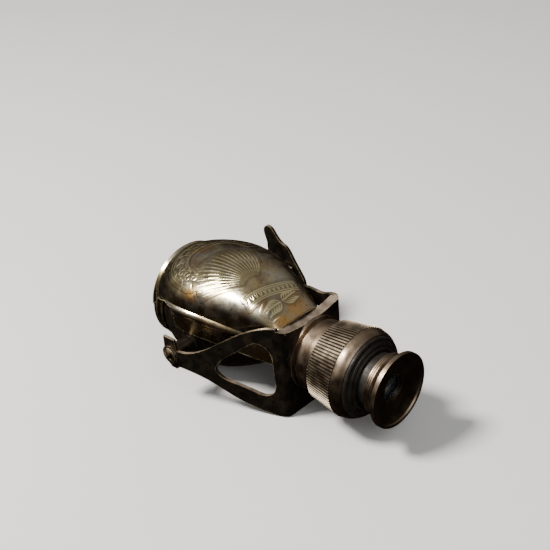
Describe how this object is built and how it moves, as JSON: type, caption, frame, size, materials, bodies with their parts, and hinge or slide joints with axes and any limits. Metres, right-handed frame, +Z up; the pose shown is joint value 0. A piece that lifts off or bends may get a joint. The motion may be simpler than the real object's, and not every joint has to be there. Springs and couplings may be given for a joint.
{
  "type": "pocket spyglass",
  "caption": "Antique brass pocket spyglass: pear-shaped engraved bulb with its objective, pivoted in a sheet-brass yoke that carries a knurled focusing eyepiece.",
  "frame": {"origin": "centre of the eyecup's rim, on the optical axis", "axes": "+X along the optical axis towards the eye, +Z up, +Y to the side of the leaf lever"},
  "size_m": [0.1134, 0.0745, 0.0504],
  "materials": {
    "engraved_brass": "patinated, satin",
    "dark_sheet_brass": "oxidised, satin",
    "dark_turned_brass": "oxidised, satin",
    "satin_bronze": "satin, turned",
    "blackened_brass": "matte black",
    "bezel_brass": "oxidised, turned",
    "screw_brass": "satin",
    "glass": "polished"
  },
  "bodies": {
    "yoke": {"yoke": "dark_sheet_brass", "eyepiece_barrel": "satin_bronze", "barrel_nut": "dark_turned_brass", "focus_key": "screw_brass", "focus_ring_stop": "screw_brass", "pad_washers": "screw_brass"},
    "focus": {"focus_ring": "satin_bronze", "front_ring": "blackened_brass"},
    "ocular": {"ocular_tube": "blackened_brass", "eyecup": "satin_bronze", "eye_lens": "glass", "lens_spacer": "blackened_brass", "field_stop": "blackened_brass", "rear_spacer": "blackened_brass", "field_lens": "glass", "field_lens_retainer": "blackened_brass"},
    "bulb": {"bulb_shell": "dark_turned_brass", "throat_ring": "dark_turned_brass", "engraved_cover": "engraved_brass", "cover_posts": "screw_brass", "bezel": "bezel_brass", "objective_cell": "blackened_brass", "objective_crown_lens": "glass", "objective_flint_lens": "glass", "objective_retainer": "blackened_brass", "light_stop": "blackened_brass", "trunnion_bosses": "dark_turned_brass", "near_pivot_screw": "screw_brass", "far_pivot_screw": "screw_brass"},
    "lever": {"leaf_lever": "dark_sheet_brass"}
  },
  "joints": [
    {"name": "bulb_tilt", "type": "hinge", "parent": "yoke", "child": "bulb", "pos_m": [-0.0864, 0, -0.0023], "axis": [0, -1, 0], "range_deg": [0, 95]},
    {"name": "focus_turn", "type": "hinge", "parent": "yoke", "child": "focus", "pos_m": [-0.0255, 0, 0], "axis": [1, 0, 0], "range_deg": [-72, 288]},
    {"name": "ocular_slide", "type": "slide", "parent": "yoke", "child": "ocular", "axis": [1, 0, 0], "range_m": [-0.00121, 0.00481]},
    {"name": "lever_turn", "type": "hinge", "parent": "yoke", "child": "lever", "pos_m": [-0.0864, 0.0357, -0.0023], "axis": [0, 1, 0], "range_deg": [-60, 30]}
  ],
  "couplings": [
    {"joint": "ocular_slide", "follows": "focus_turn", "m_per_rad": 0.00095493}
  ]
}
